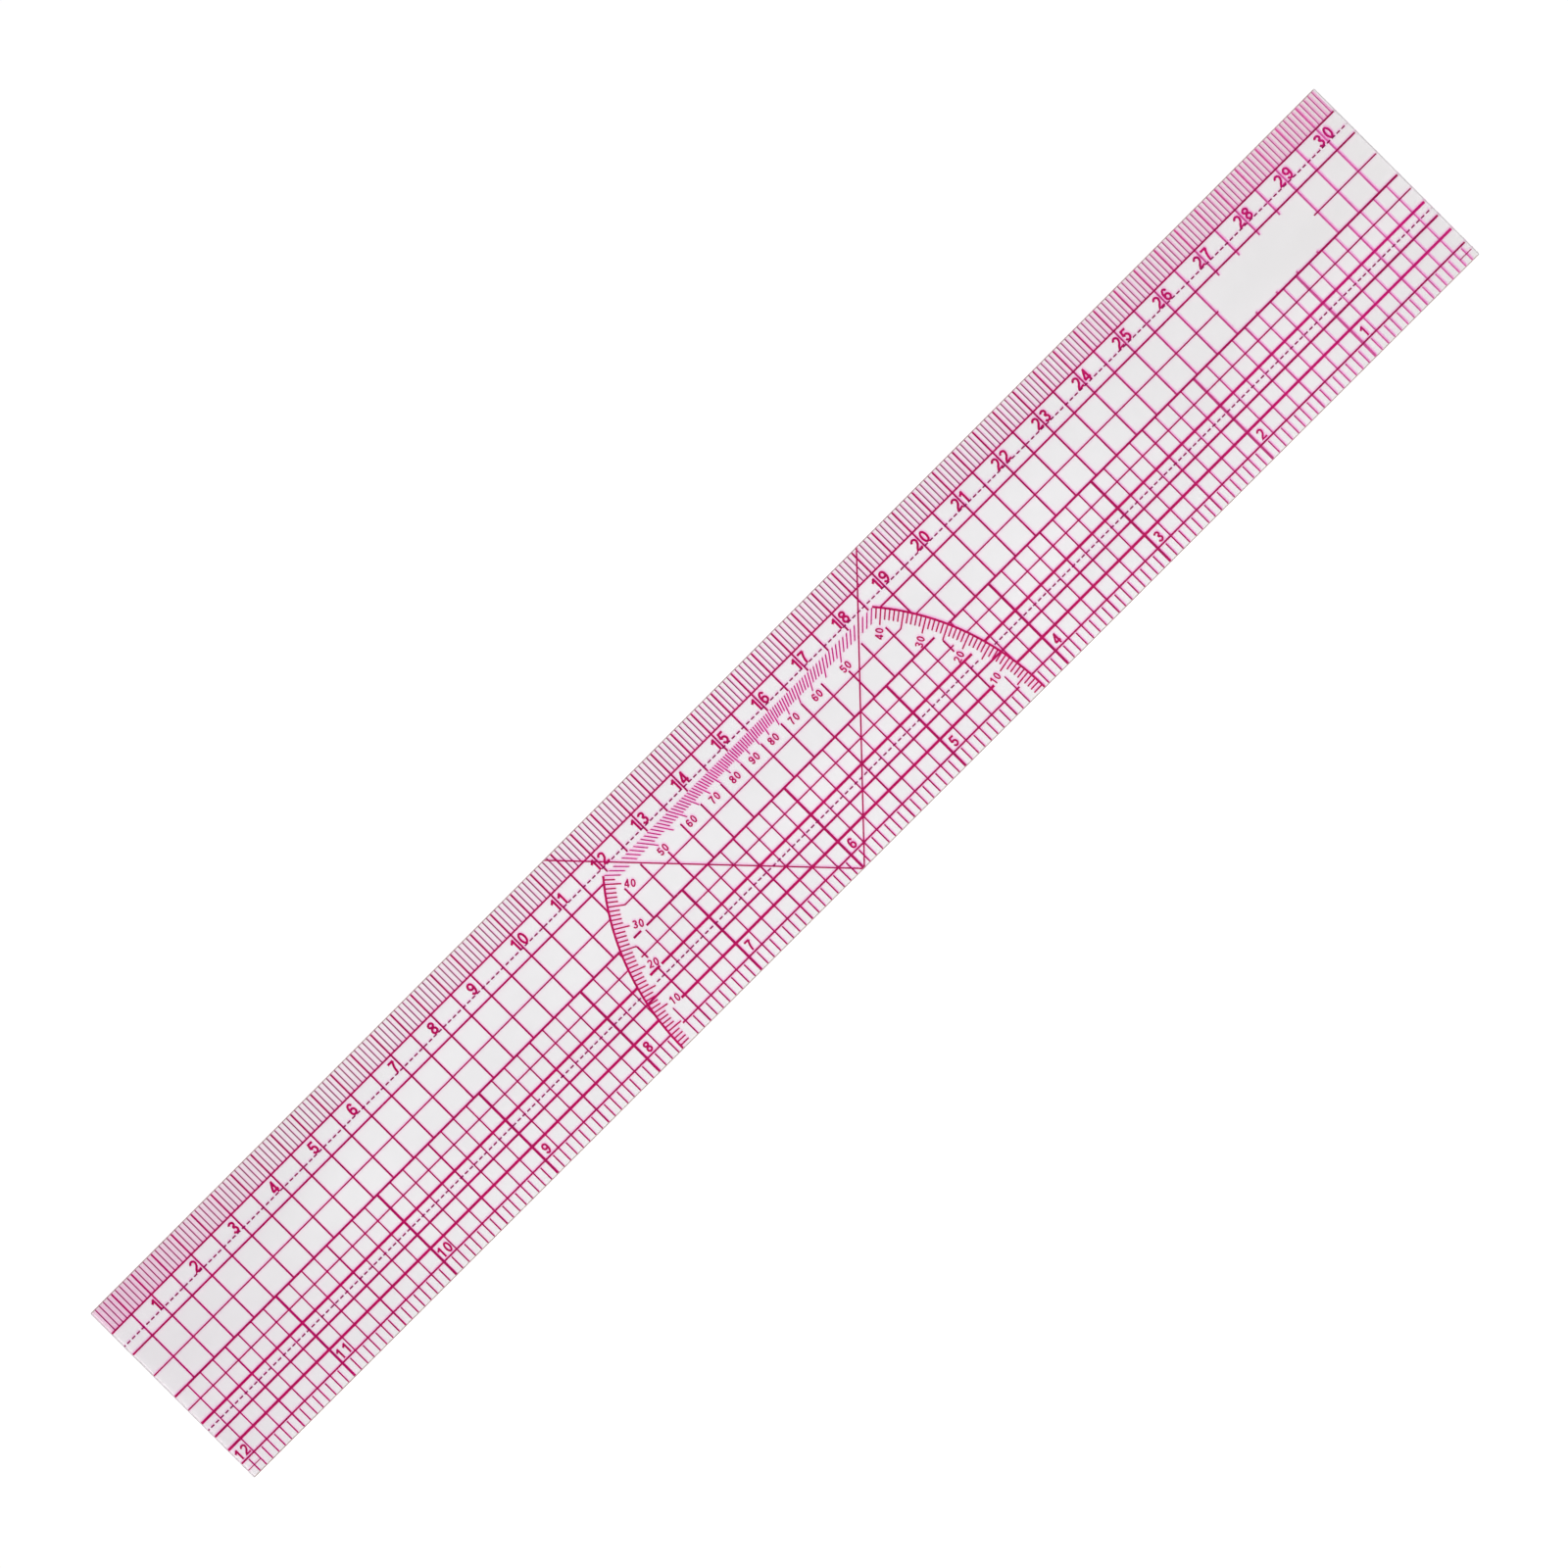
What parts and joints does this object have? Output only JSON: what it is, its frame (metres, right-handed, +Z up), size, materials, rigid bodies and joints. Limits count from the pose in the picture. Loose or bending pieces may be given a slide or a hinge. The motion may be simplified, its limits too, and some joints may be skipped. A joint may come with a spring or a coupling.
{
  "type": "quilting ruler",
  "caption": "Flat clear plastic sewing ruler, a thin rectangle of two laminated sheets over a printed scale: centimetre grid and inch grid, protractor arcs and 45 degree lines.",
  "frame": {"origin": "centre of the underside, which rests on the table", "axes": "+X along the ruler from the centimetre zero to the inch zero, +Y across it towards the centimetre edge, +Z up"},
  "size_m": [0.3048, 0.039, 0.001],
  "materials": {
    "clear_sheet": "clear flexible sheet, glossy",
    "ink": "crimson printing ink, sealed between the sheets"
  },
  "bodies": {
    "root": {"lower_sheet": "clear_sheet", "upper_sheet": "clear_sheet", "angle_lines_45": "ink", "centimetre_grid_middle": "ink", "centimetre_scale": "ink", "inch_grid": "ink", "line_10_mm_left": "ink", "line_10_mm_right": "ink", "line_15_mm_end": "ink", "line_15_mm_left": "ink", "line_15_mm_middle": "ink", "line_15_mm_right": "ink", "line_1_8_inch_left": "ink", "line_1_8_inch_middle": "ink", "line_1_8_inch_right": "ink", "line_20_mm_left": "ink", "line_20_mm_right": "ink", "line_20_mm_stub": "ink", "line_2_8_inch_left": "ink", "line_2_8_inch_middle": "ink", "line_2_8_inch_right": "ink", "line_4_8_inch_left": "ink", "line_4_8_inch_middle": "ink", "line_4_8_inch_right": "ink", "line_4_8_inch_stub": "ink", "line_5_8_inch_left": "ink", "line_5_8_inch_middle": "ink", "line_5_8_inch_right": "ink", "protractor_left": "ink", "protractor_right": "ink"}
  },
  "joints": []
}
